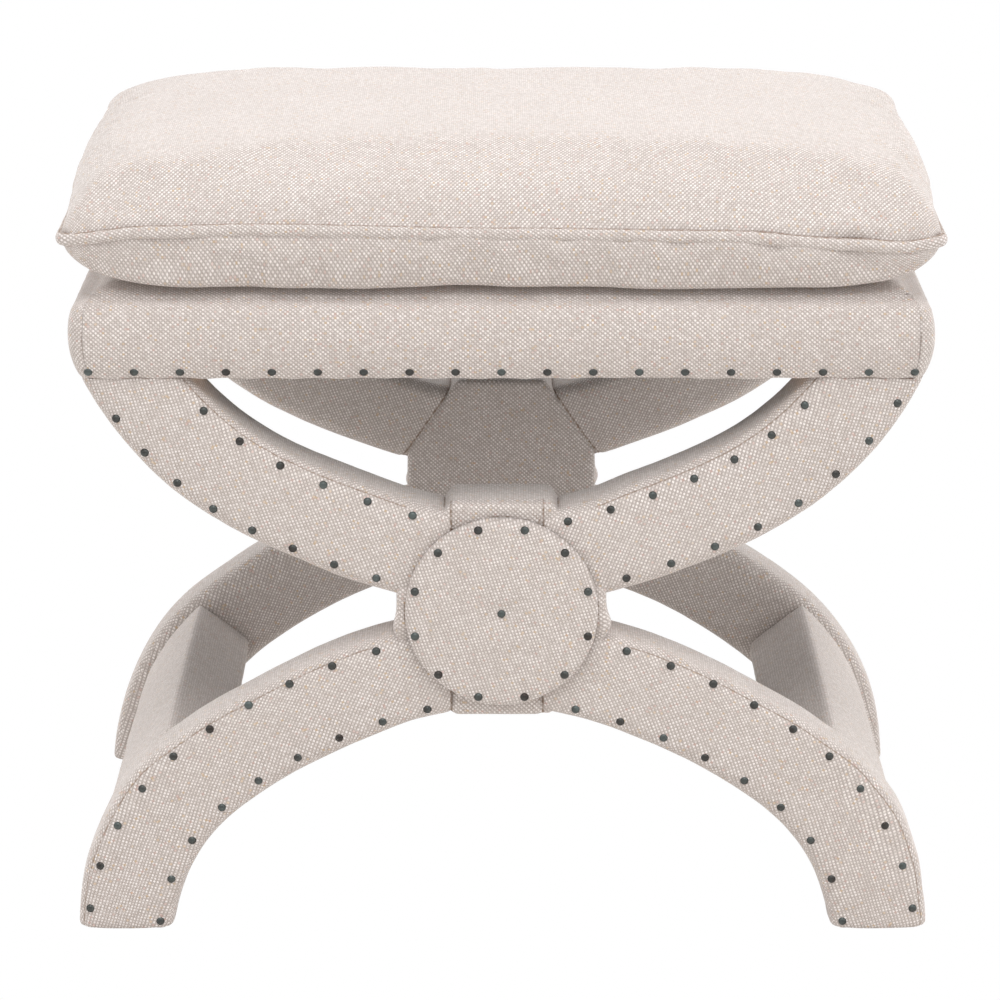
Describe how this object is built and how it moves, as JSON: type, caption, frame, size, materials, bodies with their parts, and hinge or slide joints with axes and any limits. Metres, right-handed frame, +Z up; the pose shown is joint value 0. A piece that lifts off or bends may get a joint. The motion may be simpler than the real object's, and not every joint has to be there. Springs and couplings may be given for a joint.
{
  "type": "ottoman",
  "caption": "Upholstered ottoman: a boxed seat with an attached pillow top on two crossed-curve frames with round medallions, nail-head rows and low side stretchers.",
  "frame": {"origin": "on the floor, under the middle of the seat", "axes": "+X along the width, to the right seen from the front; the front frame faces -Y; +Z up"},
  "size_m": [0.609, 0.463, 0.556],
  "materials": {
    "linen": "plain woven linen in a bisque tone, matt",
    "plywood": "sawn plywood, raw",
    "hardwood": "raw hardwood",
    "foam": "open-cell seat foam",
    "fibre_fill": "loose fibre fill",
    "dust_cloth": "black non-woven dust cloth",
    "pewter_nails": "dark aged pewter, low gloss",
    "zinc_steel": "zinc plated",
    "glide_plastic": "matt dark brown"
  },
  "bodies": {
    "root": {"front_hub_core": "plywood", "rear_hub_core": "plywood", "front_left_arm_core": "plywood", "front_right_arm_core": "plywood", "rear_left_arm_core": "plywood", "rear_right_arm_core": "plywood", "front_left_leg_core": "plywood", "front_right_leg_core": "plywood", "rear_left_leg_core": "plywood", "rear_right_leg_core": "plywood", "front_hub_cover": "linen", "rear_hub_cover": "linen", "front_left_arm_cover": "linen", "front_right_arm_cover": "linen", "rear_left_arm_cover": "linen", "rear_right_arm_cover": "linen", "front_left_leg_cover": "linen", "front_right_leg_cover": "linen", "rear_left_leg_cover": "linen", "rear_right_leg_cover": "linen", "front_medallion_board": "plywood", "rear_medallion_board": "plywood", "front_medallion_cover": "linen", "rear_medallion_cover": "linen", "front_medallion_nails": "pewter_nails", "rear_medallion_nails": "pewter_nails", "front_frame_nails": "pewter_nails", "rear_frame_nails": "pewter_nails", "left_stretcher_core": "plywood", "right_stretcher_core": "plywood", "left_stretcher_cover": "linen", "right_stretcher_cover": "linen", "front_seat_rail": "hardwood", "rear_seat_rail": "hardwood", "left_seat_rail": "hardwood", "right_seat_rail": "hardwood", "corner_blocks": "hardwood", "seat_deck": "plywood", "seat_foam": "foam", "seat_top_cloth": "linen", "front_boxing": "linen", "rear_boxing": "linen", "left_boxing": "linen", "right_boxing": "linen", "seat_nails": "pewter_nails", "dust_cloth": "dust_cloth", "cushion_fill": "fibre_fill", "cushion_cover": "linen", "cushion_cord": "linen", "frame_dowels": "hardwood", "stretcher_dowels": "hardwood", "seat_bolts": "zinc_steel", "foot_glides": "glide_plastic"}
  },
  "joints": []
}
